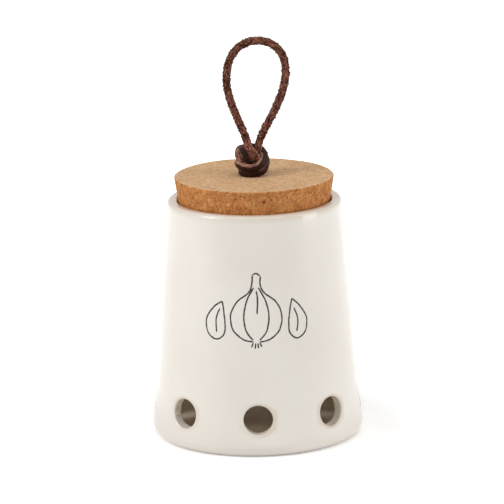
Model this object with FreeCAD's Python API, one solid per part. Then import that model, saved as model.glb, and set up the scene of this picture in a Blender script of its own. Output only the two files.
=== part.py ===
import FreeCAD, Part
import math
import os

from FreeCAD import Vector

# A vented stoneware keeper for garlic bulbs: an open tapered pot, a wedged cork
# stopper, and a leather lace that is folded double, passed through the cork and
# knotted above and below it. Sizes are in millimetres. The origin is the centre
# of the foot on the table, +Z is up and the front vent faces -Y.

# Pot wall and floor
pot_height = 116.5
base_radius = 51.75        # the outer wall line carried down to the table
rim_radius = 42.1          # the outer wall line carried up to the rim
wall = 5.0
floor_thickness = 6.0
heel_round = 5.5
inner_corner_round = 8.0
rim_outer_round = 1.8
rim_inner_round = 1.2

# Unglazed foot ring under the pot
foot_ring_width = 5.0
foot_recess = 1.2
foot_recess_slope = 1.5

# Vents around the foot of the wall
vent_count = 8
vent_radius = 7.1
vent_height = 18.5
vent_edge_round = 0.8
front_vent_angle = -90     # degrees from +X

# Cork stopper
cork_proud = 11.2          # how far the cork stands above the rim
cork_thickness = 22.0
cork_taper_deg = 9.5
cork_edge_round = 0.7
cork_seat_clearance = 0.3
lace_hole_radius = 4.0

# Leather lace
lace_radius = 1.55
lace_gap = 0.3             # running gap between the loop's round ends and the top knot's strands
tail_length = 13.0
bend_share = 0.45          # how much of the shorter run beside it each bend of the lace takes up

# Route of the loop in the plane across the pot: x, height above the knot's cork face
loop_route = [
    (-3.0, 17.0),
    (-6.4, 25.6),
    (-10.9, 36.4),
    (-12.9, 47.4),
    (-10.7, 58.2),
    (-4.4, 65.7),
    (4.4, 67.6),
    (12.5, 63.7),
    (16.6, 54.7),
    (15.6, 43.6),
    (11.3, 33.0),
    (6.4, 24.2),
    (3.0, 17.0),
]

# Routes of the two strands through the doubled overhand knot, from the top of the
# knot down into the cork: x, y, height above the knot's cork face
left_strand_route = [
    (-3.0, 0, 17.0),
    (-1.5, -1.7, 13.4),
    (0.6, -3.9, 10.3),
    (0.4, -0.7, 7.3),
    (-1.9, 3.9, 6.2),
    (-6.0, 3.7, 5.5),
    (-7.6, 0, 5.0),
    (-5.4, -5.0, 5.1),
    (-1.0, -7.0, 5.3),
    (3.5, -5.3, 7.0),
    (6.4, -2.2, 9.9),
    (5.2, 2.8, 12.6),
    (0, 3.5, 13.2),
    (-5.0, 2.6, 13.4),
    (-7.9, -0.3, 11.2),
    (-5.0, 0.1, 7.8),
    (-2.4, 0.2, 3.8),
    (-1.8, 0, 0.5),
    (-1.8, 0, -3.0),
]
right_strand_route = [
    (3.0, 0, 17.0),
    (1.6, -0.6, 13.0),
    (3.1, -0.1, 9.2),
    (3.6, 2.0, 5.2),
    (0.5, 4.5, 1.9),
    (-4.4, 4.0, 1.9),
    (-6.6, 0, 1.9),
    (-4.4, -4.5, 1.9),
    (0.5, -5.6, 1.9),
    (4.9, -4.2, 3.2),
    (7.2, 0, 6.2),
    (5.6, 4.6, 8.6),
    (1.0, 5.1, 9.2),
    (-2.5, 3.1, 9.9),
    (-3.6, -2.5, 11.0),
    (-2.2, -3.7, 6.4),
    (0.8, -2.0, 3.5),
    (1.8, 0, 0.5),
    (1.8, 0, -3.0),
]

wall_slope = (base_radius - rim_radius) / pot_height
wall_lean = math.atan(wall_slope)
wall_across = wall / math.cos(wall_lean)
mouth_radius = rim_radius - wall_across
seat_height = pot_height - rim_inner_round
cork_top = pot_height + cork_proud
cork_bottom = cork_top - cork_thickness


def outer_radius(height):
    """Radius of the pot's outer wall line at a height."""
    return base_radius - wall_slope * height


def cork_radius(height):
    """Radius of the tapered cork at a height; it wedges just under the rim's inner round."""
    seat_radius = mouth_radius - cork_seat_clearance
    return seat_radius + (height - seat_height) * math.tan(math.radians(cork_taper_deg))


def corner_arc(before, corner, after, setback):
    """Tangent arc across a corner, starting a setback before it; gives the arc and its radius."""
    back = (before - corner).normalize()
    ahead = (after - corner).normalize()
    half_turn = (math.pi - back.getAngle(ahead)) / 2
    radius = setback / math.tan(half_turn)
    inward = (back + ahead).normalize()
    centre = corner + inward * (radius / math.cos(half_turn))
    start = corner + back * setback
    end = corner + ahead * setback
    middle = centre - inward * radius
    return start, middle, end, radius


def rounded_edges(points, setbacks):
    """Straight runs through the points, with a tangent arc at each inner one that has a setback."""
    edges = []
    radii = []
    here = points[0]
    for before, corner, after, setback in zip(points, points[1:], points[2:], setbacks):
        if setback == 0:
            edges.append(Part.LineSegment(here, corner).toShape())
            here = corner
            continue
        start, middle, end, radius = corner_arc(before, corner, after, setback)
        edges.append(Part.LineSegment(here, start).toShape())
        edges.append(Part.Arc(start, middle, end).toShape())
        radii.append(radius)
        here = end
    edges.append(Part.LineSegment(here, points[-1]).toShape())
    return edges, radii


def lace_tube(points, name):
    """Round lace along a route, and a printed check of its bends and volume."""
    setbacks = []
    for before, corner, after in zip(points, points[1:], points[2:]):
        setbacks.append(bend_share * min((corner - before).Length, (after - corner).Length))
    edges, radii = rounded_edges(points, setbacks)
    path = Part.Wire(edges)
    section = Part.Wire(Part.makeCircle(lace_radius, points[0], points[1] - points[0]))
    tube = path.makePipeShell([section], True, False)
    expected = math.pi * lace_radius ** 2 * path.Length
    print(name, "length", round(path.Length, 1), "volume ratio", round(tube.Volume / expected, 4))
    print(name, "bend radii", [round(radius, 1) for radius in radii])
    return tube


def above_cork(x, y, height):
    """A point of the lace placed from the middle of the cork's top face."""
    return Vector(x, y, cork_top + height)


def below_cork(x, y, height):
    """The same point turned half round the X axis, onto the cork's lower face."""
    return Vector(x, -y, cork_bottom - height)


def revolved(corners, seam_angle=0):
    """Solid of revolution about Z from (radius, height, rounding) corners, with its seam at an angle."""
    points = [Vector(radius, 0, height) for radius, height, rounding in corners]
    setbacks = []
    for index in range(1, len(corners) - 1):
        back = points[index - 1] - points[index]
        ahead = points[index + 1] - points[index]
        half_turn = (math.pi - back.getAngle(ahead)) / 2
        setbacks.append(corners[index][2] * math.tan(half_turn))
    edges, radii = rounded_edges(points, setbacks)
    edges.append(Part.LineSegment(points[-1], points[0]).toShape())
    face = Part.Face(Part.Wire(edges))
    face.rotate(Vector(0, 0, 0), Vector(0, 0, 1), seam_angle)
    return face.revolve(Vector(0, 0, 0), Vector(0, 0, 1), 360)


def pot_body():
    """Tapered wall, floor, rounded rim and heel, and a recess inside the foot ring."""
    ring_inner = base_radius - heel_round - foot_ring_width
    inner_floor_radius = outer_radius(floor_thickness) - wall_across
    seam_between_vents = front_vent_angle + 180 / vent_count
    return revolved([
        (0, foot_recess, 0),
        (ring_inner - foot_recess_slope, foot_recess, 0),
        (ring_inner, 0, 0),
        (base_radius, 0, heel_round),
        (rim_radius, pot_height, rim_outer_round),
        (mouth_radius, pot_height, rim_inner_round),
        (inner_floor_radius, floor_thickness, inner_corner_round),
        (0, floor_thickness, 0),
    ], seam_between_vents)


def vent_cutter(angle):
    """Drill from the pot's axis out through the wall at one side."""
    drill = Part.makeCylinder(vent_radius, base_radius, Vector(0, 0, vent_height), Vector(1, 0, 0))
    drill.rotate(Vector(0, 0, 0), Vector(0, 0, 1), angle)
    return drill


def vent_edges(pot):
    """The rims of the drilled vents, inside and outside the wall."""
    rims = []
    for face in pot.Faces:
        if isinstance(face.Surface, Part.Cylinder):
            rims += [edge for edge in face.Edges if not isinstance(edge.Curve, Part.Line)]
    return rims


def make_pot():
    """The pot with its vents drilled, one of them straight to the front, and their rims rounded."""
    pot = pot_body()
    for index in range(vent_count):
        pot = pot.cut(vent_cutter(front_vent_angle + 360 * index / vent_count))
    return pot.makeFillet(vent_edge_round, vent_edges(pot))


def make_cork():
    """Tapered stopper with broken edges and one drilled hole for the doubled lace."""
    cork = revolved([
        (0, cork_bottom, 0),
        (cork_radius(cork_bottom), cork_bottom, cork_edge_round),
        (cork_radius(cork_top), cork_top, cork_edge_round),
        (0, cork_top, 0),
    ])
    drill = Part.makeCylinder(lace_hole_radius, cork_thickness, Vector(0, 0, cork_bottom))
    return cork.cut(drill)


def make_loop():
    """The lace's standing loop; its round ends turn in place over the knot's cut faces."""
    points = [above_cork(x, 0, height) for x, height in loop_route]
    loop = lace_tube(points, "lace_loop")
    for end in (points[0], points[-1]):
        loop = loop.fuse(Part.makeSphere(lace_radius, end))
    return loop.removeSplitter()


def make_top_knot():
    """Doubled overhand knot on the cork; its strands end short of the loop's round ends."""
    strands = []
    for route in (left_strand_route, right_strand_route):
        points = [above_cork(*point) for point in route]
        towards_knot = (points[1] - points[0]).normalize()
        points[0] = points[0] + towards_knot * (lace_radius + lace_gap)
        strands.append(lace_tube(points, "top_knot"))
    return Part.makeCompound(strands)


def make_under_knot():
    """The same knot under the cork, which keeps the lace from pulling out."""
    strands = []
    for route in (left_strand_route, right_strand_route):
        strands.append(lace_tube([below_cork(*point) for point in route], "under_knot"))
    return Part.makeCompound(strands)


def make_lace_in_hole():
    """The two straight strands side by side in the cork's hole, from knot to knot."""
    strands = []
    for route in (left_strand_route, right_strand_route):
        upper = above_cork(*route[-1])
        lower = below_cork(*route[-1])
        strands.append(Part.makeCylinder(lace_radius, upper.z - lower.z, lower))
    return Part.makeCompound(strands)


def make_tail(route, name):
    """One cut end of the lace, which leaves the lower knot and bends down into the pot."""
    knot_end = below_cork(*route[0])
    out_of_knot = (knot_end - below_cork(*route[1])).normalize()
    elbow = knot_end + out_of_knot * (tail_length / 2)
    tip = elbow + Vector(0, 0, -1) * (tail_length / 2)
    return lace_tube([knot_end, elbow, tip], name)


def main():
    os.makedirs("parts", exist_ok=True)
    nodes = {
        "stoneware_pot": make_pot(),
        "cork_stopper": make_cork(),
        "lace_loop": make_loop(),
        "top_knot": make_top_knot(),
        "lace_in_hole": make_lace_in_hole(),
        "under_knot": make_under_knot(),
        "left_tail": make_tail(left_strand_route, "left_tail"),
        "right_tail": make_tail(right_strand_route, "right_tail"),
    }
    for name, shape in nodes.items():
        print(name, "valid", shape.isValid(), "solids", len(shape.Solids), "volume", round(shape.Volume, 1))
        shape.exportStep("parts/" + name + ".step")


main()
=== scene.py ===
import math
import random

import bmesh
import bpy
import numpy as np
from mathutils import Matrix, Vector, kdtree, noise


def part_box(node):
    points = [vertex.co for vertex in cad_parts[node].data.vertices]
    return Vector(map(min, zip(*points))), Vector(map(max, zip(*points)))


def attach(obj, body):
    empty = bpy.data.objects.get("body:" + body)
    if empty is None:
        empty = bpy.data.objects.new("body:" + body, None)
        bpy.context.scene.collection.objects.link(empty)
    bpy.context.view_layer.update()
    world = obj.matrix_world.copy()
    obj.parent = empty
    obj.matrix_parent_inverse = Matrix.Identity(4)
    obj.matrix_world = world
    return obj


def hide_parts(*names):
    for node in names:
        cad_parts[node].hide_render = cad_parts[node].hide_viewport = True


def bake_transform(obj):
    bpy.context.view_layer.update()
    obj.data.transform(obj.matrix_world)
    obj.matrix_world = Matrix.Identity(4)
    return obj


# A vented stoneware keeper for garlic: a glazed pot, a pressed cork stopper and a
# leather lace, doubled and knotted above and below the cork. Everything is in
# metres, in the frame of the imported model; MM turns millimetres into metres.

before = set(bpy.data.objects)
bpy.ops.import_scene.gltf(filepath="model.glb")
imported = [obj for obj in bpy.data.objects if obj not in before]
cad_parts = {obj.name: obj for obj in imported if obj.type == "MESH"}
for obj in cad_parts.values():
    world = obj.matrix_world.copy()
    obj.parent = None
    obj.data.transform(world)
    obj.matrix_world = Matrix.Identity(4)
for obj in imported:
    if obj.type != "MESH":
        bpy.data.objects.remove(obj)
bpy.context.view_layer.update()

MM = 0.001

# What the frame says
CORK_LOW, CORK_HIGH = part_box("cork_stopper")
CORK_TOP = CORK_HIGH[2]
CORK_BOTTOM = CORK_LOW[2]
POT_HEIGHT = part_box("stoneware_pot")[1][2]

FRONT = -math.pi / 2       # the angle about Z that faces the camera

# Camera, fitted to the photograph
LENS = 285.7
SENSOR_WIDTH = 36
CAMERA_REACH = 50
CAMERA_DISTANCE = 1940.7 * MM
CAMERA_ELEVATION = 13.57
CAMERA_ROLL = -1.03
CAMERA_TARGET = Vector((-1.57 * MM, 0, 89.39 * MM))

# Light: the world's own, and the floor's lift to white for the camera, which is partial
# up to SHADOW_REACH from the pot's axis and whole from WHITE_REACH on
WORLD_STRENGTH = 0.355
LIGHT_AIM = Vector((0, 0, 80 * MM))
FLOOR_HALF = 6.0
FLOOR_DROP = 0.02 * MM
FLOOR_GREY = 0.9
FLOOR_LIFT = 0.36
SHADOW_REACH = 62 * MM
WHITE_REACH = 150 * MM

# Lace section: a cut strip of leather with softened corners
LACE_WIDTH = 3.6 * MM
LACE_THICKNESS = 3.3 * MM
LACE_CORNERS = 2.9         # 2 is an ellipse, more is squarer
LACE_RING_POINTS = 28
LACE_STEP = 0.3 * MM
LINE_RESOLUTION = 24
KEY_SMOOTHING = 12
KNOT_HEIGHT = 19 * MM      # above the cork; the cut sides' paleness fades just below it
PALENESS_FADE = 6 * MM
LOOP_CUT_PALENESS = 0.15

# Nap: tufts of short fibres, every so many of them larger; fibres to a millimetre of lace
FIBRE_RINGS = 4
FIBRE_SIDES = 3
TUFT_FIBRES = 5
LARGE_TUFT_EVERY = 6
LARGE_TUFT = 1.5
TAIL_NAP = 40
LOWER_KNOT_NAP = 16
UPPER_KNOT_NAP = 20
LOOP_NAP = 60
LOOP_NAP_SEED = 100

# Route of the loop, in millimetres: x, height above the cork
LOOP_ROUTE = [
    (-3.0, 17.0),
    (-6.4, 25.6),
    (-10.9, 36.4),
    (-12.9, 47.4),
    (-10.7, 58.2),
    (-4.4, 64.8),
    (4.4, 66.4),
    (12.4, 62.9),
    (16.6, 54.7),
    (15.6, 43.6),
    (11.3, 33.0),
    (6.4, 24.2),
    (3.0, 17.0),
]

# Routes of the two strands through a knot, in millimetres, from its outer end to the cork:
# x, y, height
LEFT_STRAND_ROUTE = [
    (-3.0, 0, 17.0),
    (-2.7, -2.4, 13.8),
    (0.2, -4.3, 11.0),
    (1.6, -3.4, 7.8),
    (0.6, 1.2, 6.0),
    (-2.8, 4.2, 5.6),
    (-6.6, 3.2, 5.6),
    (-7.8, -1.2, 6.0),
    (-5.0, -5.8, 4.9),
    (-0.8, -6.7, 4.5),
    (3.3, -5.6, 5.9),
    (5.4, -3.0, 9.2),
    (4.4, 0.8, 11.9),
    (1.0, 3.2, 13.1),
    (-3.6, 3.4, 13.0),
    (-7.1, 2.2, 12.8),
    (-7.5, -0.6, 10.2),
    (-6.2, -1.2, 6.8),
    (-3.2, -0.2, 3.4),
    (-1.8, 0, 0.5),
    (-1.8, 0, -3.0),
]
RIGHT_STRAND_ROUTE = [
    (3.0, 0, 17.0),
    (2.0, -0.6, 13.0),
    (3.1, -0.1, 9.2),
    (3.6, 2.0, 5.2),
    (0.5, 4.5, 2.2),
    (-4.4, 4.0, 2.0),
    (-6.4, 0, 2.2),
    (-4.4, -4.6, 1.8),
    (0.2, -5.6, 1.7),
    (4.4, -4.3, 2.7),
    (6.2, -0.8, 6.0),
    (5.8, 3.4, 8.6),
    (2.6, 5.4, 9.8),
    (-1.4, 4.4, 10.1),
    (-4.4, 1.2, 11.4),
    (-5.4, -1.8, 13.3),
    (-3.6, -3.2, 9.8),
    (-1.8, -3.0, 6.0),
    (0.6, -1.8, 3.2),
    (1.8, 0, 0.5),
    (1.8, 0, -3.0),
]

# Which way the grain side faces, and the width's share of a plain strip's, at points of a route
LEFT_STRAND_SIDES = {
    0: ((0, 1, 0), 1.0),
    2: ((0.25, 1, 0), 1.3),
    3: ((0.2, 1, 0.2), 1.2),
    5: ((0, 1, 0), 1.0),
    7: ((-0.8, -0.6, -0.4), 1.0),
    9: ((0, -1, -0.45), 1.0),
    11: ((0.5, -1, -0.1), 1.05),
    13: ((0.2, -1, 0.6), 1.0),
    15: ((-0.2, 0.5, 1), 1.0),
    16: ((-1, 0.6, 0.2), 1.05),
    18: ((-1, 0, 0), 1.0),
}
RIGHT_STRAND_SIDES = {
    0: ((0, 1, 0), 1.0),
    3: ((0.3, 1, 0), 1.0),
    6: ((-1, 0, 0), 1.0),
    8: ((0, -1, -0.15), 1.0),
    10: ((1, -0.5, -0.2), 1.0),
    13: ((0, -0.3, 1), 1.0),
    15: ((-0.3, -1, 0.5), 1.0),
    16: ((-0.2, -1, 0.2), 1.05),
    18: ((0, -1, 0.2), 1.0),
    20: ((0.7, -0.7, 0), 0.95),
}
TAIL_LENGTH = 13.0 * MM

# Pot: the sizes of its outline and of its vents
BASE_RADIUS = 51.75 * MM
RIM_RADIUS = 42.1 * MM
POT_WALL = 5.0 * MM
FLOOR_HEIGHT = 6.0 * MM
FLOOR_ROUND = 8.0 * MM
HEEL_ROUND = 5.5 * MM
RIM_OUTER_ROUND = 1.9 * MM
RIM_INNER_ROUND = 1.3 * MM
FOOT_RING = 5.0 * MM
FOOT_RING_ROUND = 0.5 * MM
FOOT_RECESS = 1.2 * MM
FOOT_RECESS_SLOPE = 1.5 * MM
FOOT_RECESS_ROUND = 0.6 * MM
VENT_COUNT = 8
VENT_RADIUS = 7.1 * MM
VENT_HEIGHT = 18.5 * MM
LIP_ROUND = 0.9 * MM
UNEVEN_FROM = 20 * MM      # nearer to the axis the pot is even

# Pot: its mesh, with a patch of wall round each vent whose rings crowd towards the lip
POT_ROW_GAP = 2.2 * MM
ROUNDING_STEPS = 8
OUTER_WALL_FROM = 40 * MM
INNER_WALL_FROM = 30 * MM
PATCH_LOW_OUT = 7.0 * MM
PATCH_LOW_IN = 9.0 * MM
PATCH_HIGH = 30.0 * MM
PATCH_SEGMENTS = 24
PATCH_ROWS = 16
PATCH_RINGS = 12
PATCH_CROWDING = 1.4
LIP_RINGS = 6
BORE_RINGS = 5
POT_WELD = 0.02 * MM

# Pot: where its glaze runs thin, turns into the inside's matt glaze with its painted shade, and ends
THIN_FROM = 3.2 * MM       # below the rim
THIN_WHOLE = 0.3 * MM
LIP_FADE = 9 / 1.1
INSIDE_SHADE_ROWS = 4
INSIDE_SHADE_RINGS = 3
GLAZE_LINE = 1.6 * MM

# Cork
CORK_RADII = (35.03 * MM, 38.71 * MM)
CORK_ROUND = 0.7 * MM
LACE_HOLE = 4.0 * MM
CORK_SEGMENTS = 520
CORK_ROW_GAP = 0.42 * MM
CORK_WELD = 0.001 * MM
CORK_PITS = 1300
CORK_PITS_SEED = 11
COARSE_GRANULE = 1.8 * MM
MEDIUM_GRANULE = 0.75 * MM
CUT_GRANULE = 1.9 * MM

# Drawing: strokes in millimetres across and up from its middle, and a stroke's section, as
# shares of its half width and how many millimetres each stands proud of the wall
DRAWING_HEIGHT = 71 * MM
DRAWING_STROKE = 0.95
DRAWING_SCALE = 1.08
DRAWING_STEP = 0.35
STROKE_SECTION = [(-1.0, -0.03), (-0.6, 0.03), (0.0, 0.045), (0.6, 0.03), (1.0, -0.03)]
DRAWING = [
    [(-1.6, 16.5), (-1.9, 12.0), (-3.5, 8.5), (-8.5, 4.5), (-11.5, -1.5), (-10.5, -8.0), (-6.0, -12.2),
     (-1.5, -13.2)],
    [(1.9, 16.0), (1.9, 12.0), (3.8, 8.3), (8.8, 4.2), (11.3, -1.8), (10.2, -8.2), (5.8, -12.3),
     (1.2, -13.3)],
    [(-1.6, 16.5), (0.2, 17.2), (1.9, 16.0)],
    [(-1.0, 11.0), (-4.2, 5.0), (-5.6, -2.0), (-4.6, -8.5), (-1.6, -12.6)],
    [(0.9, 11.0), (4.0, 5.2), (5.5, -1.8), (4.4, -8.6), (1.3, -12.6)],
    [(0.1, 9.5), (0.6, 5.0), (0.3, -1.0)],
    [(-1.5, -13.6), (-2.5, -15.8)],
    [(-0.5, -13.8), (-0.9, -16.4)],
    [(0.4, -13.8), (0.6, -16.2)],
    [(1.3, -13.6), (2.3, -15.6)],
    [(-15.2, 4.6), (-19.2, 1.8), (-23.0, -3.6), (-22.6, -9.8), (-18.6, -12.6), (-14.8, -10.2),
     (-14.2, -4.6), (-15.2, 4.6)],
    [(-16.4, 1.4), (-18.3, -3.4), (-18.2, -9.6)],
    [(16.0, 5.2), (19.8, 1.6), (23.2, -4.2), (22.4, -10.2), (18.4, -12.7), (14.9, -9.8), (14.6, -3.8),
     (16.0, 5.2)],
    [(17.0, 1.0), (18.8, -4.0), (18.3, -9.8)],
]


# Nodes

def node_adder(tree):
    """A helper that adds nodes to a tree."""

    def add(kind, inputs=(), **settings):
        """A node with its inputs set: a value, or another node's output to link from."""
        node = tree.nodes.new("ShaderNode" + kind)
        for key, value in settings.items():
            setattr(node, key, value)
        for key, value in dict(inputs).items():
            if isinstance(value, bpy.types.NodeSocket):
                tree.links.new(value, node.inputs[key])
            else:
                node.inputs[key].default_value = value
        return node

    return add


def maths(add, operation, a, b, **settings):
    """Two values put together by an operation."""
    return add("Math", {0: a, 1: b}, operation=operation, **settings).outputs[0]


def spread(add, value, low, high, to_low=0.0, to_high=1.0, **settings):
    """A value's range stretched onto another, clamped."""
    inputs = {"Value": value, "From Min": low, "From Max": high, "To Min": to_low, "To Max": to_high}
    return add("MapRange", inputs, **settings).outputs["Result"]


def noise_value(add, vector, scale, detail, **inputs):
    """A noise texture's value."""
    return add("TexNoise", {"Vector": vector, "Scale": scale, "Detail": detail, **inputs}).outputs["Fac"]


def attribute(add, name):
    """The value of a point attribute."""
    return add("Attribute", attribute_name=name).outputs["Fac"]


def ramp(add, factor, stops):
    """A colour ramp over a value; stops are (place, colour)."""
    node = add("ValToRGB", {"Fac": factor})
    elements = node.color_ramp.elements
    while len(elements) < len(stops):
        elements.new(0.5)
    for element, (place, colour) in zip(elements, stops):
        element.position = place
        element.color = (*colour, 1)
    return node.outputs["Color"]


def mix(add, factor, a, b):
    """Two colours mixed by a factor."""
    node = add("Mix", data_type="RGBA")
    for socket, value in ((node.inputs[0], factor), (node.inputs[6], a), (node.inputs[7], b)):
        if isinstance(value, bpy.types.NodeSocket):
            node.id_data.links.new(value, socket)
        elif isinstance(value, (int, float)):
            socket.default_value = value
        else:
            socket.default_value = (*value, 1)
    return node.outputs[2]


def new_material(name):
    """A node material, its Principled surface, and helpers that add nodes and link sockets."""
    material = bpy.data.materials.new(name)
    material.use_nodes = True
    tree = material.node_tree
    return material, tree.nodes["Principled BSDF"], node_adder(tree), tree.links.new


# Camera, light and floor

def placed(name, data):
    """A new object of the scene that holds the data."""
    thing = bpy.data.objects.new(name, data)
    bpy.context.scene.collection.objects.link(thing)
    return thing


def make_camera():
    """A long lens at the photograph's angle, with its slight roll."""
    elevation = math.radians(CAMERA_ELEVATION)
    roll = math.radians(CAMERA_ROLL)
    forward = Vector((0, math.cos(elevation), -math.sin(elevation)))
    right = Vector((1, 0, 0))
    up = right.cross(forward)
    side = right * math.cos(roll) + up * math.sin(roll)
    top = up * math.cos(roll) - right * math.sin(roll)
    turn = Matrix((side, top, -forward)).transposed().to_4x4()
    data = bpy.data.cameras.new("camera")
    data.lens = LENS
    data.sensor_width = SENSOR_WIDTH
    data.clip_end = CAMERA_REACH
    camera = placed("camera", data)
    camera.matrix_world = Matrix.Translation(CAMERA_TARGET - forward * CAMERA_DISTANCE) @ turn
    bpy.context.scene.camera = camera


def area_light(name, azimuth, elevation, distance, width, height, power, colour):
    """A soft box that faces the middle of the pot from a side."""
    a = math.radians(azimuth)
    e = math.radians(elevation)
    towards = Vector((math.sin(a) * math.cos(e), -math.cos(a) * math.cos(e), math.sin(e)))
    data = bpy.data.lights.new(name, "AREA")
    data.shape = "RECTANGLE"
    data.size = width
    data.size_y = height
    data.energy = power
    data.color = colour
    light = placed(name, data)
    light.location = LIGHT_AIM + towards * distance
    light.rotation_euler = (-towards).to_track_quat("-Z", "Y").to_euler()


def make_world():
    """Even pale light; the camera, reflections and clear things see plain white."""
    world = bpy.data.worlds.new("studio")
    bpy.context.scene.world = world
    world.use_nodes = True
    add = node_adder(world.node_tree)
    rays = add("LightPath").outputs
    seen = maths(add, "MAXIMUM", rays["Is Camera Ray"], rays["Is Glossy Ray"])
    seen = maths(add, "MAXIMUM", seen, rays["Is Transmission Ray"])
    background = world.node_tree.nodes["Background"].inputs
    world.node_tree.links.new(spread(add, seen, 0, 1, WORLD_STRENGTH, 1.0), background["Strength"])
    background["Color"].default_value = (1, 1, 1, 1)


def make_floor():
    """A large pale sheet on the table's plane: it keeps the pot's shadow, and is white further out."""
    material = bpy.data.materials.new("floor_white")
    material.use_nodes = True
    material.node_tree.nodes.clear()
    add = node_adder(material.node_tree)
    rays = add("LightPath").outputs
    seen = maths(add, "MAXIMUM", rays["Is Camera Ray"], rays["Is Glossy Ray"])
    away = add("VectorMath", {0: add("TexCoord").outputs["Object"]}, operation="LENGTH").outputs["Value"]
    whiter = spread(add, away, SHADOW_REACH, WHITE_REACH, FLOOR_LIFT, 1.0, interpolation_type="SMOOTHSTEP")
    lift = add("Emission", {"Strength": maths(add, "MULTIPLY", seen, whiter)}).outputs[0]
    paper = add("BsdfDiffuse", {"Color": (FLOOR_GREY, FLOOR_GREY, FLOOR_GREY, 1)}).outputs[0]
    add("OutputMaterial", {"Surface": add("AddShader", {0: paper, 1: lift}).outputs[0]})
    corners = [(x * FLOOR_HALF, y * FLOOR_HALF, 0) for x, y in ((-1, -1), (1, -1), (1, 1), (-1, 1))]
    floor = mesh_object("floor", corners, [(0, 1, 2, 3)], material, {})
    floor.location.z = -FLOOR_DROP


# Lace

def leather_material(name, hair=False):
    """Dark brown lace leather: smooth on the grain side, mottled nap elsewhere, pale where cut."""
    material, surface, add, link = new_material(name)
    straight = add("Attribute", attribute_name="straight").outputs["Vector"]
    grain = attribute(add, "grain")
    along = add("Mapping", {"Vector": straight, "Scale": (350, 1500, 1500)}).outputs["Vector"]
    fibre = noise_value(add, along, 1.0, 5.0, Roughness=0.65)
    blotch = noise_value(add, straight, 420.0, 3.0, Distortion=0.6)
    fleck = noise_value(add, along, 2.7, 3.0, Roughness=0.7)
    tone = spread(add, maths(add, "ADD", fibre, blotch), 0.84, 1.22)
    nap = ramp(add, tone, [(0.0, (0.018, 0.003, 0.001)), (0.45, (0.090, 0.025, 0.014)),
                           (0.8, (0.20, 0.074, 0.048)), (1.0, (0.36, 0.155, 0.105))])
    nap = mix(add, spread(add, fleck, 0.53, 0.63), nap, (0.50, 0.235, 0.16))
    smooth = ramp(add, tone, [(0.0, (0.010, 0.003, 0.0015)), (1.0, (0.036, 0.011, 0.006))])
    pale = ramp(add, tone, [(0.0, (0.20, 0.085, 0.058)), (1.0, (0.56, 0.33, 0.25))])
    colour = mix(add, attribute(add, "cut"), mix(add, grain, nap, smooth), pale)
    link(colour, surface.inputs["Base Color"])
    link(maths(add, "ADD", maths(add, "MULTIPLY", grain, -0.5), 0.95), surface.inputs["Roughness"])
    surface.inputs["Specular IOR Level"].default_value = 0.11
    if not hair:
        rough = maths(add, "ADD", maths(add, "MULTIPLY", grain, -0.75), 1.0)
        bump = add("Bump", {"Height": fibre, "Strength": rough, "Distance": 0.35 * MM})
        link(bump.outputs["Normal"], surface.inputs["Normal"])
    return material


def above_cork(x, y, height):
    """A point of the lace, in millimetres from the middle of the cork's top face."""
    return Vector((x * MM, y * MM, CORK_TOP + height * MM))


def below_cork(x, y, height):
    """The same point turned half round the X axis, onto the cork's lower face."""
    return Vector((x * MM, -y * MM, CORK_BOTTOM - height * MM))


def tail_points(route):
    """The tip and elbow of a cut end, which leaves the lower knot and bends down."""
    knot_end = below_cork(*route[0])
    out_of_knot = (knot_end - below_cork(*route[1])).normalized()
    elbow = knot_end + out_of_knot * (TAIL_LENGTH / 2)
    return [elbow + Vector((0, 0, -TAIL_LENGTH / 2)), elbow]


def lace_route():
    """The whole lace's route, from the left cut end over the loop to the right one."""
    route = tail_points(LEFT_STRAND_ROUTE)
    route += [below_cork(*point) for point in LEFT_STRAND_ROUTE]
    route += [above_cork(*point) for point in reversed(LEFT_STRAND_ROUTE[1:])]
    route += [above_cork(x, 0, height) for x, height in LOOP_ROUTE]
    route += [above_cork(*point) for point in RIGHT_STRAND_ROUTE[1:]]
    route += [below_cork(*point) for point in reversed(RIGHT_STRAND_ROUTE)]
    route += reversed(tail_points(RIGHT_STRAND_ROUTE))
    return route


def smooth_line(route):
    """Points along the NURBS line that has the route as its control points."""
    curve = bpy.data.curves.new("lace_line", "CURVE")
    curve.dimensions = "3D"
    curve.resolution_u = LINE_RESOLUTION
    spline = curve.splines.new("NURBS")
    spline.points.add(len(route) - 1)
    for point, place in zip(spline.points, route):
        point.co = (*place, 1)
    spline.order_u = 3
    spline.use_endpoint_u = True
    holder = placed("lace_line", curve)
    bpy.context.view_layer.update()
    mesh = bpy.data.meshes.new_from_object(holder)
    line = np.array([tuple(vertex.co) for vertex in mesh.vertices])
    bpy.data.objects.remove(holder)
    bpy.data.curves.remove(curve)
    bpy.data.meshes.remove(mesh)
    return line


def run_along(line):
    """How far along a line each of its points lies."""
    return np.concatenate([[0], np.cumsum(np.linalg.norm(np.diff(line, axis=0), axis=1))])


def headings(line):
    """The unit direction of a line at each of its points."""
    along = np.gradient(line, axis=0)
    return along / np.linalg.norm(along, axis=1)[:, None]


def even_line(line, step):
    """The same line with points an even step apart, and how far along each lies."""
    run = run_along(line)
    at = np.linspace(0, run[-1], int(run[-1] / step) + 1)
    return np.stack([np.interp(at, run, line[:, axis]) for axis in range(3)], axis=1), at


def turned(vectors, axes, angles):
    """Each vector turned about its axis, which is square to it, by its angle."""
    return vectors * np.cos(angles)[:, None] + np.cross(axes, vectors) * np.sin(angles)[:, None]


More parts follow.
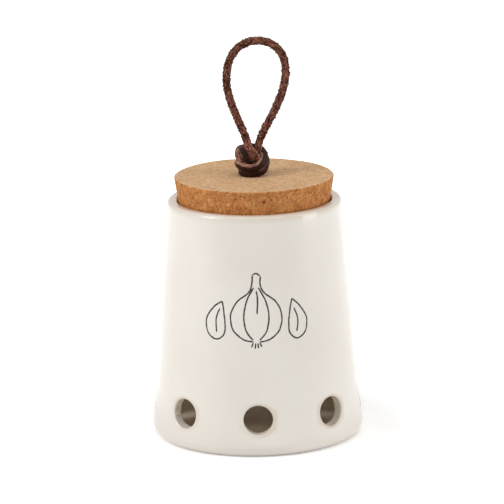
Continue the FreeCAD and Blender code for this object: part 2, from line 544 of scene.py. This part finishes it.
class Lace:
    """The whole lace as one line, with a direction for its grain side and a width at every point."""

    def __init__(self):
        route = lace_route()
        raw = smooth_line(route)
        self.points, self.run = even_line(raw, LACE_STEP)
        nearest_share = np.clip((np.arange(len(route)) - 0.5) / (len(route) - 2), 0, 1)
        self.route_run = np.interp(nearest_share * (len(raw) - 1), np.arange(len(raw)), run_along(raw))
        self.tangents = headings(self.points)
        self.left_pivot = 2 + 2 * len(LEFT_STRAND_ROUTE) - 1
        self.right_pivot = self.left_pivot + len(LOOP_ROUTE) - 1
        self.apex = int(np.argmax(self.points[:, 2]))
        self.carry_grain()
        self.turn_grain()
        self.across = np.cross(self.tangents, self.grain)

    def index(self, route_place):
        """Index of the point that belongs to a control point of the route."""
        return int(round(self.route_run[route_place] / self.run[-1] * (len(self.points) - 1)))

    def carry_grain(self):
        """The grain side faces back at the loop's top and is carried along with the least turning."""
        self.grain = np.zeros_like(self.points)
        self.grain[self.apex] = (0, 1, 0)
        ahead = [(i - 1, i) for i in range(self.apex + 1, len(self.points))]
        back = [(i + 1, i) for i in range(self.apex - 1, -1, -1)]
        for here, there in ahead + back:
            tangent = self.tangents[there]
            carried = self.grain[here] - tangent * np.dot(self.grain[here], tangent)
            self.grain[there] = carried / np.linalg.norm(carried)

    def turn_grain(self):
        """Turns the grain side to the directions wanted in the knots, evenly between them."""
        keys = {self.apex: (0.0, 1.0)}
        for sides, pivot, step in ((LEFT_STRAND_SIDES, self.left_pivot, -1),
                                   (RIGHT_STRAND_SIDES, self.right_pivot, 1)):
            last = 0.0
            for place, (facing, width) in sides.items():
                i = self.index(pivot + step * place)
                wanted = np.array(facing, float)
                side = np.cross(self.tangents[i], self.grain[i])
                angle = math.atan2(np.dot(wanted, side), np.dot(wanted, self.grain[i]))
                angle += 2 * math.pi * round((last - angle) / (2 * math.pi))
                keys[i] = (angle, width)
                last = angle
        places = sorted(keys)
        count = np.arange(len(self.points))
        angles = smoothed(np.interp(count, places, [keys[i][0] for i in places]), KEY_SMOOTHING)
        self.widths = smoothed(np.interp(count, places, [keys[i][1] for i in places]), KEY_SMOOTHING)
        self.grain = turned(self.grain, self.tangents, angles)


def smoothed(values, passes):
    """Values averaged with their neighbours a few times, ends kept."""
    for _ in range(passes):
        values[1:-1] = (values[:-2] + 2 * values[1:-1] + values[2:]) / 4
    return values


def section_point(angle, widening):
    """A point on the lace's section: along its width, along its thickness, and its parts in each."""
    c = math.cos(angle)
    s = math.sin(angle)
    reach = (abs(c) ** LACE_CORNERS + abs(s) ** LACE_CORNERS) ** (-1 / LACE_CORNERS)
    return c * reach * LACE_WIDTH / 2 * widening, s * reach * LACE_THICKNESS / 2 / widening, c, s


def smooth_step(value, low, high):
    """0 below low, 1 above high, and a smooth rise between."""
    t = min(max((value - low) / (high - low), 0), 1)
    return t * t * (3 - 2 * t)


def ring_faces(base, rings, width):
    """Faces that join closed rings of points, each ring to the next."""
    faces = []
    for ring in range(rings - 1):
        for k in range(width):
            a = base + ring * width + k
            b = base + ring * width + (k + 1) % width
            faces.append((a, b, b + width, a + width))
    return faces


def mesh_object(name, vertices, faces, material, attributes):
    """A smooth-shaded mesh with point attributes: floats, or vectors."""
    mesh = bpy.data.meshes.new(name)
    mesh.from_pydata(vertices, [], faces)
    for key, values in attributes.items():
        kind = "FLOAT" if np.ndim(values[0]) == 0 else "FLOAT_VECTOR"
        layer = mesh.attributes.new(key, kind, "POINT")
        field = "value" if kind == "FLOAT" else "vector"
        layer.data.foreach_set(field, np.array(values, np.float32).ravel())
    mesh.shade_smooth()
    mesh.materials.append(material)
    return placed(name, mesh)


def cut_paleness(place):
    """Bare cut leather shows in the knots; along the loop it is rubbed dark like the nap."""
    above = smooth_step(place[2], CORK_TOP + KNOT_HEIGHT - PALENESS_FADE, CORK_TOP + KNOT_HEIGHT)
    return 1 + (LOOP_CUT_PALENESS - 1) * above


def surface_place(lace, index, angle):
    """A point of the lace's skin, its outward direction, straightened place and side shares."""
    width, thickness, c, s = section_point(angle, lace.widths[index])
    outward = lace.across[index] * c + lace.grain[index] * s
    straight = Vector((lace.run[index], width, thickness))
    grain = smooth_step(s, 0.62, 0.80)
    cut = smooth_step(abs(c), 0.80, 0.90)
    uneven = noise.noise(straight / (2.2 * MM)) * 0.16 * MM
    nap = noise.noise(straight / (0.8 * MM)) * 0.34 * MM * (1 - 0.85 * grain)
    place = lace.points[index] + lace.across[index] * width + lace.grain[index] * thickness
    return place + outward * (uneven + nap), outward, straight, grain, cut


def lace_stretch(lace, name, first, last, material):
    """One stretch of the lace as a closed mesh, from one point of its line to another."""
    vertices = []
    data = {"straight": [], "grain": [], "cut": []}
    count = LACE_RING_POINTS
    for index in range(first, last + 1):
        for k in range(count):
            place, _, straight, grain, cut = surface_place(lace, index, 2 * math.pi * k / count)
            vertices.append(tuple(place))
            data["straight"].append(tuple(straight))
            data["grain"].append(grain)
            data["cut"].append(cut * cut_paleness(place))
    rings = last - first + 1
    faces = [(a, d, c, b) for a, b, c, d in ring_faces(0, rings, count)]
    faces.append(tuple(range(count)))
    faces.append(tuple((rings - 1) * count + k for k in reversed(range(count))))
    return mesh_object(name, vertices, faces, material, data)


def nap_fibres(lace, name, first, last, per_mm, material, seed):
    """Short bent fibres that stand out of the lace's rough sides, as one mesh."""
    draw = random.Random(seed)
    vertices = []
    faces = []
    data = {"straight": [], "grain": [], "cut": []}
    total = int((lace.run[last] - lace.run[first]) / MM * per_mm)
    for number in range(total):
        if number % TUFT_FIBRES == 0:
            middle = draw.randint(first, last)
            turn = draw.uniform(0, 2 * math.pi)
        index = min(max(middle + draw.randint(-1, 1), first), last)
        angle = turn + draw.gauss(0, 0.12)
        root, outward, straight, grain, cut = surface_place(lace, index, angle)
        if draw.random() < 0.9 * grain:
            continue
        size = LARGE_TUFT if number // TUFT_FIBRES % LARGE_TUFT_EVERY == 0 else 1
        length = min(0.35 + draw.expovariate(1 / 0.28), 1.3) * size * MM
        thick = draw.uniform(0.05, 0.11) * size * MM
        lean = Vector(lace.tangents[index]) * draw.uniform(-0.5, 1.2)
        stray = Vector((draw.gauss(0, 0.35), draw.gauss(0, 0.35), draw.gauss(0, 0.35)))
        heading = (Vector(outward) * draw.uniform(0.35, 0.9) + lean + stray).normalized()
        curl = (Vector(lace.tangents[index]) * draw.uniform(-0.5, 0.8) + stray) * 0.5
        side = heading.orthogonal().normalized()
        other = heading.cross(side)
        place = Vector(root) - heading * 0.1 * MM
        base = len(vertices)
        for ring in range(FIBRE_RINGS):
            radius = thick * (1 - 0.8 * ring / (FIBRE_RINGS - 1))
            for k in range(FIBRE_SIDES):
                a = 2 * math.pi * k / FIBRE_SIDES
                vertices.append(tuple(place + (side * math.cos(a) + other * math.sin(a)) * radius))
                data["straight"].append(tuple(straight))
                data["grain"].append(0.0)
                data["cut"].append(cut * cut_paleness(root))
            place = place + heading * (length / (FIBRE_RINGS - 1))
            heading = (heading + curl * 0.4).normalized()
        faces += ring_faces(base, FIBRE_RINGS, FIBRE_SIDES)
        faces.append(tuple(reversed(range(base, base + FIBRE_SIDES))))
        tip = base + (FIBRE_RINGS - 1) * FIBRE_SIDES
        faces.append(tuple(range(tip, tip + FIBRE_SIDES)))
    return mesh_object(name, vertices, faces, material, data)


def make_lace():
    """Every stretch of the lace with its nap, each in place of the CAD node it stands for; all but the loop
    ride on the lace's body.
    """
    lace = Lace()
    skin = leather_material("lace_leather")
    fuzz = leather_material("lace_nap", hair=True)
    steps = len(LEFT_STRAND_ROUTE) - 1
    left_pivot = lace.index(lace.left_pivot)
    left_high = lace.index(lace.left_pivot - steps)
    left_low = lace.index(lace.left_pivot - steps - 1)
    left_knot = lace.index(2)
    right_pivot = lace.index(lace.right_pivot)
    right_high = lace.index(lace.right_pivot + steps)
    right_low = lace.index(lace.right_pivot + steps + 1)
    right_knot = lace.index(len(lace.route_run) - 3)
    right_end = len(lace.points) - 1
    stretches = [
        ("left_cut_end", 0, left_knot, "left_tail", TAIL_NAP),
        ("lower_knot_left", left_knot, left_low, "under_knot", LOWER_KNOT_NAP),
        ("left_in_cork", left_low, left_high, "lace_in_hole", 0),
        ("upper_knot_left", left_high, left_pivot, "top_knot", UPPER_KNOT_NAP),
        ("upper_knot_right", right_pivot, right_high, "top_knot", UPPER_KNOT_NAP),
        ("right_in_cork", right_high, right_low, "lace_in_hole", 0),
        ("lower_knot_right", right_low, right_knot, "under_knot", LOWER_KNOT_NAP),
        ("right_cut_end", right_knot, right_end, "right_tail", TAIL_NAP),
    ]
    carried = []
    for seed, (name, first, last, node, per_mm) in enumerate(stretches):
        piece = lace_stretch(lace, name, first, last, skin)
        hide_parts(node)
        carried.append(piece)
        if per_mm:
            carried.append(nap_fibres(lace, name + "_nap", first, last, per_mm, fuzz, seed))
    for piece in carried:
        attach(piece, "lace")
    loop = lace_stretch(lace, "loop", left_pivot, right_pivot, skin)
    loop_nap = nap_fibres(lace, "loop_nap", left_pivot, right_pivot, LOOP_NAP, fuzz, LOOP_NAP_SEED)
    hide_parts("lace_loop")
    for piece in (loop, loop_nap):
        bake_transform(piece)


# Outlines and grids, for the pot and the cork

def on_circle(radius, angle, height):
    """A point round Z."""
    return radius * math.cos(angle), radius * math.sin(angle), height


def arc_points(before, corner, after, radius, count):
    """Points of the rounding that replaces a corner of an outline."""
    corner = Vector(corner)
    back = (Vector(before) - corner).normalized()
    ahead = (Vector(after) - corner).normalized()
    half = back.angle(ahead) / 2
    setback = radius / math.tan(half)
    centre = corner + (back + ahead).normalized() * (radius / math.sin(half))
    start = corner + back * setback - centre
    turn = math.pi - 2 * half
    if start.y * back.x - start.x * back.y < 0:
        turn = -turn
    points = []
    for step in range(count + 1):
        a = turn * step / count
        points.append((centre.x + start.x * math.cos(a) - start.y * math.sin(a),
                       centre.y + start.x * math.sin(a) + start.y * math.cos(a)))
    return points


def outline(corners, longest):
    """Points along an outline of (radius, height, rounding) corners, no two further apart than longest."""
    raw = [corners[0][:2]]
    for before, corner, after in zip(corners, corners[1:], corners[2:]):
        if corner[2] == 0:
            raw.append(corner[:2])
        else:
            raw += arc_points(before[:2], corner[:2], after[:2], corner[2], ROUNDING_STEPS)
    raw.append(corners[-1][:2])
    points = [raw[0]]
    for a, b in zip(raw, raw[1:]):
        parts = max(1, math.ceil(math.dist(a, b) / longest))
        points += [(a[0] + (b[0] - a[0]) * i / parts, a[1] + (b[1] - a[1]) * i / parts)
                   for i in range(1, parts + 1)]
    return points


class Grids:
    """Faces made of grids of points, later welded where their borders meet."""

    def __init__(self):
        self.vertices = []
        self.faces = []
        self.data = {}

    def add(self, rows, **values):
        """A grid of closed rows of points, with point attributes worked out from point, row and place."""
        self.faces += ring_faces(len(self.vertices), len(rows), len(rows[0]))
        for i, row in enumerate(rows):
            for k, point in enumerate(row):
                self.vertices.append(tuple(point))
                for key, value in values.items():
                    self.data.setdefault(key, []).append(value(point, i, k))

    def welded_object(self, name, material, weld):
        """The grids as one object, with points nearer than the weld joined."""
        thing = mesh_object(name, self.vertices, self.faces, material, self.data)
        cage = bmesh.new()
        cage.from_mesh(thing.data)
        bmesh.ops.remove_doubles(cage, verts=cage.verts, dist=weld)
        bmesh.ops.recalc_face_normals(cage, faces=cage.faces)
        cage.to_mesh(thing.data)
        cage.free()
        thing.data.shade_smooth()
        return thing


def revolved_rows(points, segments):
    """Rows of points round Z, one row for each (radius, height) of an outline."""
    angles = [2 * math.pi * k / segments for k in range(segments)]
    return [[on_circle(radius, angle, height) for angle in angles] for radius, height in points]


def radius_at(points, height):
    """Radius of an outline, given as (radius, height) points, at a height."""
    ordered = sorted((z, r) for r, z in points)
    return float(np.interp(height, [z for z, _ in ordered], [r for _, r in ordered]))


# Pot

def hand_made(point):
    """The slight unevenness of a pot made by hand: none at the foot and where the cork seats."""
    place = Vector(point)
    radius = math.hypot(place.x, place.y)
    if radius < UNEVEN_FROM:
        return tuple(place)
    share = smooth_step(place.z, 2 * MM, 20 * MM) * (1 - smooth_step(place.z, 85 * MM, 104 * MM))
    swell = noise.noise(place / (34 * MM)) * 0.30 * MM + noise.noise(place / (11 * MM)) * 0.07 * MM
    scale = 1 + share * swell / radius
    return place.x * scale, place.y * scale, place.z


def pot_outlines():
    """The pot's outline under the vents, over the rim and at the floor, and both its walls' lines."""
    lean = math.atan((BASE_RADIUS - RIM_RADIUS) / POT_HEIGHT)
    across = POT_WALL / math.cos(lean)
    mouth = RIM_RADIUS - across
    floor_corner = BASE_RADIUS + (RIM_RADIUS - BASE_RADIUS) * FLOOR_HEIGHT / POT_HEIGHT - across
    ring_inner = BASE_RADIUS - HEEL_ROUND - FOOT_RING
    points = outline([
        (0, FOOT_RECESS, 0),
        (ring_inner - FOOT_RECESS_SLOPE, FOOT_RECESS, FOOT_RECESS_ROUND),
        (ring_inner, 0, FOOT_RING_ROUND),
        (BASE_RADIUS, 0, HEEL_ROUND),
        (RIM_RADIUS, POT_HEIGHT, RIM_OUTER_ROUND),
        (mouth, POT_HEIGHT, RIM_INNER_ROUND),
        (floor_corner, FLOOR_HEIGHT, FLOOR_ROUND),
        (0, FLOOR_HEIGHT, 0),
    ], POT_ROW_GAP)
    top = max(range(len(points)), key=lambda i: points[i][1])
    outer = points[:top + 1]
    inner = points[top + 1:]
    outer_wall = [p for p in outer if p[0] > OUTER_WALL_FROM]
    low_out = (radius_at(outer_wall, PATCH_LOW_OUT), PATCH_LOW_OUT)
    high_out = (radius_at(outer_wall, PATCH_HIGH), PATCH_HIGH)
    inner_wall = [p for p in inner if p[0] > INNER_WALL_FROM]
    low_in = (radius_at(inner_wall, PATCH_LOW_IN), PATCH_LOW_IN)
    high_in = (radius_at(inner_wall, PATCH_HIGH), PATCH_HIGH)
    foot = [p for p in outer if p[1] < PATCH_LOW_OUT] + [low_out]
    rim = [high_out] + [p for p in outer if p[1] > PATCH_HIGH]
    rim += [p for p in inner if p[1] > PATCH_HIGH] + [high_in]
    bottom = [low_in] + [p for p in inner if p[1] < PATCH_LOW_IN]
    return foot, rim, bottom, outer_wall, inner_wall


def patch_border(low):
    """Border of a vent's patch of wall: (angle from the vent's axis, height), once round."""
    half = math.pi / VENT_COUNT
    wide, tall = PATCH_SEGMENTS, PATCH_ROWS
    border = [(half, low + (PATCH_HIGH - low) * i / tall) for i in range(tall)]
    border += [(half - 2 * half * i / wide, PATCH_HIGH) for i in range(wide)]
    border += [(-half, PATCH_HIGH + (low - PATCH_HIGH) * i / tall) for i in range(tall)]
    border += [(-half + 2 * half * i / wide, low) for i in range(wide)]
    return border


def vent_rings(outer_wall, inner_wall):
    """A vent's rings, from its patch outside to the one inside, and how thin the glaze runs on each."""
    outside = patch_border(PATCH_LOW_OUT)
    inside = patch_border(PATCH_LOW_IN)
    middle = radius_at(outer_wall, VENT_HEIGHT)
    turns = [math.atan2(z - VENT_HEIGHT, a * middle) for a, z in outside]

    def on_wall(wall, sink, turn, reach):
        """A point round the vent at a reach from its axis, sunk into the wall from one side."""
        y = reach * math.cos(turn)
        z = VENT_HEIGHT + reach * math.sin(turn)
        return math.sqrt(radius_at(wall, z) ** 2 - y * y) - sink, y, z

    def patch(wall, border):
        """Rings of one side's patch, from its border to the vent's lip."""
        made = []
        for step in range(PATCH_RINGS):
            share = (1 - step / PATCH_RINGS) ** PATCH_CROWDING
            ring = []
            for turn, (border_angle, border_z) in zip(turns, border):
                x, y, z = on_wall(wall, 0, turn, VENT_RADIUS + LIP_ROUND)
                angle = math.atan2(y, x) * (1 - share) + border_angle * share
                z = z * (1 - share) + border_z * share
                ring.append(on_circle(radius_at(wall, z), angle, z))
            made.append((ring, math.exp(-((share * LIP_FADE) ** 2))))
        return made

    def lip(wall, side):
        """Rings of the rounded lip, from the wall's face to the bore."""
        made = []
        for step in range(LIP_RINGS + 1):
            a = math.pi / 2 * step / LIP_RINGS
            reach = VENT_RADIUS + LIP_ROUND * (1 - math.sin(a))
            sink = side * LIP_ROUND * (1 - math.cos(a))
            made.append(([on_wall(wall, sink, turn, reach) for turn in turns], 1.0))
        return made

    sequence = patch(outer_wall, outside) + lip(outer_wall, 1)
    inner_lip = lip(inner_wall, -1)
    start = np.array(sequence[-1][0])
    end = np.array(inner_lip[-1][0])
    for step in range(1, BORE_RINGS):
        share = step / BORE_RINGS
        sequence.append((start * (1 - share) + end * share, 0.35 * (1 - share)))
    sequence += reversed(inner_lip)
    sequence += reversed(patch(inner_wall, inside))
    return zip(*sequence)


def make_pot(material):
    """The pot as welded grids: round rows, and a patch with its bore for each vent."""
    foot, rim, bottom, outer_wall, inner_wall = pot_outlines()
    segments = PATCH_SEGMENTS * VENT_COUNT
    grids = Grids()

    def rim_edge(point, i, k):
        """How near the rim's top a point is, where the glaze runs thin."""
        return smooth_step(point[2], POT_HEIGHT - THIN_FROM, POT_HEIGHT - THIN_WHOLE)

    top_row = max(range(len(rim)), key=lambda i: rim[i][1])
    # The inside attribute marks the painted shade inside the pot: from a few rows past the rim's top inwards,
    # and all of the floor.
    for part, last_outside in ((foot, len(foot)), (rim, top_row + INSIDE_SHADE_ROWS), (bottom, -1)):
        rows = [[hand_made(point) for point in row] for row in revolved_rows(part, segments)]
        grids.add(rows, edge=rim_edge, inside=lambda point, i, k: float(i > last_outside))
    rings, lips = vent_rings(outer_wall, inner_wall)
    bore_start = PATCH_RINGS + LIP_RINGS
    inside_shade_from = bore_start + BORE_RINGS + INSIDE_SHADE_RINGS
    for vent in range(VENT_COUNT):
        a = FRONT + 2 * math.pi * vent / VENT_COUNT
        c = math.cos(a)
        s = math.sin(a)
        rows = [[hand_made((x * c - y * s, x * s + y * c, z)) for x, y, z in ring] for ring in rings]
        # Each vent's bore turns from the outside glaze to the inside's painted shade.
        grids.add(rows, edge=lambda point, i, k: lips[i],
                  inside=lambda point, i, k: smooth_step(i, bore_start, inside_shade_from))
    pot = grids.welded_object("glazed_pot", material, POT_WELD)
    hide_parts("stoneware_pot")
    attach(pot, "pot")
    return outer_wall


def glaze_material():
    """Warm white glossy glaze, warmer where it runs thin, matt inside with a warm beige of painted shade, and
    bare clay under the foot.
    """
    material, surface, add, link = new_material("white_glaze")
    place = add("TexCoord").outputs["Object"]
    height = add("SeparateXYZ", {0: place}).outputs["Z"]
    inside = attribute(add, "inside")
    cloud = noise_value(add, place, 28.0, 3.0)
    fine = noise_value(add, place, 700.0, 2.0)
    body = ramp(add, cloud, [(0.3, (0.81, 0.76, 0.685)), (0.7, (0.85, 0.805, 0.735))])
    thin = maths(add, "MULTIPLY", spread(add, cloud, 0.35, 0.6), attribute(add, "edge"))
    body = mix(add, maths(add, "MULTIPLY", thin, 0.55), body, (0.62, 0.50, 0.38))
    # Painted shade: the inside of the pot and the vents' bores are coloured a warmer beige, where shade
    # falls.
    body = mix(add, inside, body, (0.93, 0.82, 0.65))
    clay = ramp(add, fine, [(0.3, (0.44, 0.33, 0.235)), (0.7, (0.58, 0.46, 0.345))])
    above_line = maths(add, "SUBTRACT", height, maths(add, "MULTIPLY", cloud, GLAZE_LINE))
    bare = spread(add, above_line, -0.1 * MM, 0.1 * MM, 1.0, 0.0)
    link(mix(add, bare, body, clay), surface.inputs["Base Color"])
    matt = maths(add, "MAXIMUM", maths(add, "MULTIPLY", inside, 0.75), bare)
    link(spread(add, matt, 0, 1, 0.07, 0.9), surface.inputs["Roughness"])
    ripple = noise_value(add, place, 120.0, 2.0)
    grit = maths(add, "MULTIPLY", fine, bare)
    skin = add("Bump", {"Height": ripple, "Strength": 0.5, "Distance": 0.03 * MM}).outputs["Normal"]
    skin = add("Bump", {"Height": grit, "Strength": 0.6, "Distance": 0.12 * MM, "Normal": skin})
    link(skin.outputs["Normal"], surface.inputs["Normal"])
    surface.inputs["IOR"].default_value = 1.5
    return material


# Drawing on the pot's front, fired under the glaze

def curve_through(points, spacing):
    """A smooth line through the given points, with points of its own every so often."""
    ends = [2 * points[0] - points[1], *points, 2 * points[-1] - points[-2]]
    made = []
    for a, b, c, d in zip(ends, ends[1:], ends[2:], ends[3:]):
        parts = max(2, int(np.linalg.norm(c - b) / spacing))
        for i in range(parts):
            t = i / parts
            made.append(0.5 * (2 * b + (c - a) * t + (2 * a - 5 * b + 4 * c - d) * t * t
                               + (3 * b - a - 3 * c + d) * t ** 3))
    return np.array([*made, points[-1]])


def make_drawing(outer_wall):
    """A garlic bulb between two cloves, as thin raised strokes that follow the wall."""
    material, surface, add, link = new_material("dark_underglaze")
    uneven = noise_value(add, add("TexCoord").outputs["Object"], 500.0, 2.0)
    tone = ramp(add, uneven, [(0.3, (0.012, 0.009, 0.008)), (0.75, (0.034, 0.026, 0.021))])
    link(tone, surface.inputs["Base Color"])
    surface.inputs["Roughness"].default_value = 0.2
    vertices = []
    faces = []
    width = len(STROKE_SECTION)
    for number, stroke in enumerate(DRAWING):
        line = curve_through([np.array(point) * DRAWING_SCALE for point in stroke], DRAWING_STEP)
        heading = headings(line)
        first = len(vertices)
        for i, (x, z) in enumerate(line):
            wobble = noise.noise(Vector((x / 1.7, z / 1.7, number)))
            x += 0.12 * noise.noise(Vector((x / 3.1, z / 3.1, 50 + number)))
            z += 0.12 * noise.noise(Vector((x / 3.1, z / 3.1, 90 + number)))
            from_end = min(i, len(line) - 1 - i)
            blunt = math.sqrt(min(1.0, 0.12 + from_end * 0.45))
            half = DRAWING_STROKE / 2 * (1 + 0.22 * wobble) * blunt
            for share, proud in STROKE_SECTION:
                sx = x - heading[i][1] * half * share
                sz = z + heading[i][0] * half * share
                height = DRAWING_HEIGHT + sz * MM
                radius = radius_at(outer_wall, height)
                angle = FRONT + sx * MM / radius
                wall = Vector(hand_made(on_circle(radius, angle, height)))
                vertices.append(tuple(wall + Vector(on_circle(1, angle, 0)) * proud * MM))
        for i in range(len(line) - 1):
            for k in range(width - 1):
                a = first + i * width + k
                faces.append((a, a + 1, a + width + 1, a + width))
    drawing = mesh_object("garlic_drawing", vertices, faces, material, {})
    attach(drawing, "pot")


# Cork

def cork_material():
    """Pressed cork granules: sanded pale and fine on the faces, coarse and browner on the side."""
    material, surface, add, link = new_material("pressed_cork")
    place = add("TexCoord").outputs["Object"]
    side = attribute(add, "side")
    stir = add("TexNoise", {"Vector": place, "Scale": 420.0, "Detail": 3.0}).outputs["Color"]
    stir = add("VectorMath", {0: stir, 1: (0.5, 0.5, 0.5)}, operation="SUBTRACT").outputs[0]
    stir = add("VectorMath", {0: stir, "Scale": 1.3 * MM}, operation="SCALE").outputs[0]
    bent = add("VectorMath", {0: place, 1: stir}, operation="ADD").outputs[0]

    def granules(size):
        """A random value for each granule of a size, and how near its seam is."""
        inputs = {"Vector": bent, "Scale": 1 / size, "Randomness": 1.0}
        colour = add("TexVoronoi", inputs).outputs["Color"]
        seam = add("TexVoronoi", inputs, feature="DISTANCE_TO_EDGE").outputs["Distance"]
        return add("SeparateColor", {0: colour}).outputs, spread(add, seam, 0.0, 0.10, 1.0, 0.0)

    coarse, coarse_seam = granules(COARSE_GRANULE)
    medium, medium_seam = granules(MEDIUM_GRANULE)
    cloud = noise_value(add, place, 55.0, 3.0)
    grit = noise_value(add, bent, 1500.0, 4.0)
    tone = mix(add, 0.5, coarse["Red"], medium["Red"])
    tone = mix(add, 0.28, tone, noise_value(add, bent, 3200.0, 3.0))
    rough_side = ramp(add, tone, [(0.12, (0.31, 0.085, 0.018)), (0.40, (0.56, 0.195, 0.046)),
                                  (0.65, (0.72, 0.295, 0.080)), (0.92, (0.93, 0.54, 0.21))])
    fine_face = ramp(add, tone, [(0.15, (0.60, 0.345, 0.16)), (0.5, (0.81, 0.545, 0.305)),
                                 (0.85, (0.95, 0.71, 0.455))])
    drawn = add("Mapping", {"Vector": bent, "Scale": (260, 1500, 260)}).outputs["Vector"]
    streak = spread(add, noise_value(add, drawn, 1.0, 4.0, Roughness=0.65), 0.50, 0.70, 0.0, 0.6)
    fine_face = mix(add, streak, fine_face, (0.45, 0.24, 0.10))
    colour = mix(add, side, fine_face, rough_side)
    colour = mix(add, spread(add, grit, 0.3, 0.75, 0.0, 0.42), colour, (0.46, 0.22, 0.085))
    seam = maths(add, "MAXIMUM", coarse_seam, medium_seam)
    seam = maths(add, "MULTIPLY", seam, spread(add, side, 0, 1, 0.10, 0.26))
    colour = mix(add, seam, colour, (0.26, 0.11, 0.042))
    bark = spread(add, medium["Green"], spread(add, side, 0, 1, 0.98, 0.94), 1.0)
    bark = maths(add, "MULTIPLY", bark, 30.0, use_clamp=True)
    colour = mix(add, maths(add, "MULTIPLY", bark, 0.6), colour, (0.16, 0.06, 0.022))
    colour = mix(add, spread(add, cloud, 0.3, 0.7, 0.0, 0.20), colour, (0.52, 0.24, 0.085))
    # Painted shade in the pits: the deeper a pit is cut, the darker it is coloured.
    pit = maths(add, "MULTIPLY", attribute(add, "pit"), 0.75)
    colour = mix(add, pit, colour, (0.16, 0.062, 0.024))
    link(colour, surface.inputs["Base Color"])
    surface.inputs["Roughness"].default_value = 0.85
    surface.inputs["Specular IOR Level"].default_value = 0.25
    relief = maths(add, "ADD", maths(add, "MULTIPLY", seam, -1.0), coarse["Blue"])
    relief = maths(add, "ADD", relief, grit)
    bump = add("Bump", {"Height": relief, "Strength": spread(add, side, 0, 1, 0.25, 0.8),
                        "Distance": 0.18 * MM})
    link(bump.outputs["Normal"], surface.inputs["Normal"])
    return material


def cork_rows():
    """Rows of points round the cork: its top from the hole out, its side, its bottom, and the hole."""
    low_radius, high_radius = CORK_RADII
    corners = [
        (LACE_HOLE, CORK_TOP, 0),
        (high_radius, CORK_TOP, CORK_ROUND),
        (low_radius, CORK_BOTTOM, CORK_ROUND),
        (LACE_HOLE, CORK_BOTTOM, 0),
        (LACE_HOLE, CORK_TOP, 0),
    ]
    return outline(corners, CORK_ROW_GAP)


def make_cork():
    """The stopper: a dense mesh with granules and pits cut into it."""
    points = cork_rows()
    flat = [place for row in revolved_rows(points, CORK_SEGMENTS) for place in row]
    normals = []
    sides = []
    for across, up in headings(np.array(points)):
        on_side = smooth_step(abs(up), 0.2, 0.8)
        for k in range(CORK_SEGMENTS):
            normals.append(Vector(on_circle(-up, 2 * math.pi * k / CORK_SEGMENTS, across)))
            sides.append(on_side)
    tree = kdtree.KDTree(len(flat))
    for i, place in enumerate(flat):
        tree.insert(place, i)
    tree.balance()
    depth = np.zeros(len(flat))
    sinks = [Vector((0, 0, 0))] * len(flat)
    pits = np.zeros(len(flat))
    draw = random.Random(CORK_PITS_SEED)
    for _ in range(CORK_PITS):
        centre = draw.randrange(len(flat))
        coarse = sides[centre]
        if 0.03 < coarse < 0.97 or coarse < 0.5 and draw.random() < 0.65:
            continue
        size = min(0.22 + draw.expovariate(1 / 0.22), 1.1) * MM * (0.7 + 0.3 * coarse)
        deep = size * draw.uniform(0.35, 0.75) * (0.35 + 0.65 * coarse)
        flatten = draw.uniform(0.45, 1.0)
        middle = Vector(flat[centre])
        for place, index, _ in tree.find_range(middle, size * 1.25):
            offset = place - middle
            offset.z /= flatten if coarse > 0.5 else 1
            ragged = 1 + 0.35 * noise.noise(place / (0.7 * MM))
            share = 1 - smooth_step(offset.length / (size * ragged), 0.35, 1.0)
            if deep * share > depth[index]:
                depth[index] = deep * share
                sinks[index] = normals[centre] * (deep * share)
            # Painted shade: how deep the pit is cut here sets how dark it is coloured.
            pits[index] = max(pits[index], share * min(1, deep / (0.35 * MM)))
    made = []
    for place, normal, on_side, sink in zip(flat, normals, sides, sinks):
        spot = Vector(place)
        distances, cells = noise.voronoi(spot / CUT_GRANULE)
        grain = noise.cell(cells[0] * 7.3) - 0.5
        groove = 1 - smooth_step(distances[1] - distances[0], 0.0, 0.22)
        swell = (grain * 0.16 - groove * 0.10) * MM * (0.15 + 0.85 * on_side)
        swell += noise.noise(spot / (14 * MM)) * 0.12 * MM
        swell *= smooth_step(math.hypot(spot.x, spot.y), LACE_HOLE, 1.5 * LACE_HOLE)
        made.append(tuple(spot + normal * swell - sink))
    count = CORK_SEGMENTS
    grids = Grids()
    grids.add([made[i * count:(i + 1) * count] for i in range(len(points))],
              side=lambda point, i, k: sides[i * count + k],
              pit=lambda point, i, k: float(pits[i * count + k]))
    cork = grids.welded_object("pressed_cork", cork_material(), CORK_WELD)
    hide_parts("cork_stopper")
    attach(cork, "stopper")


make_camera()
area_light("key", azimuth=-64, elevation=30, distance=1.3, width=0.42, height=0.9, power=7.6,
           colour=(1.0, 0.99, 0.985))
area_light("fill", azimuth=76, elevation=14, distance=1.4, width=0.6, height=1.2, power=8.6,
           colour=(1.0, 0.99, 0.98))
area_light("top", azimuth=10, elevation=75, distance=1.3, width=1.0, height=1.0, power=3.9,
           colour=(1.0, 0.995, 0.985))
make_world()
make_floor()
bpy.context.scene.view_settings.view_transform = "Standard"
make_drawing(make_pot(glaze_material()))
make_cork()
make_lace()
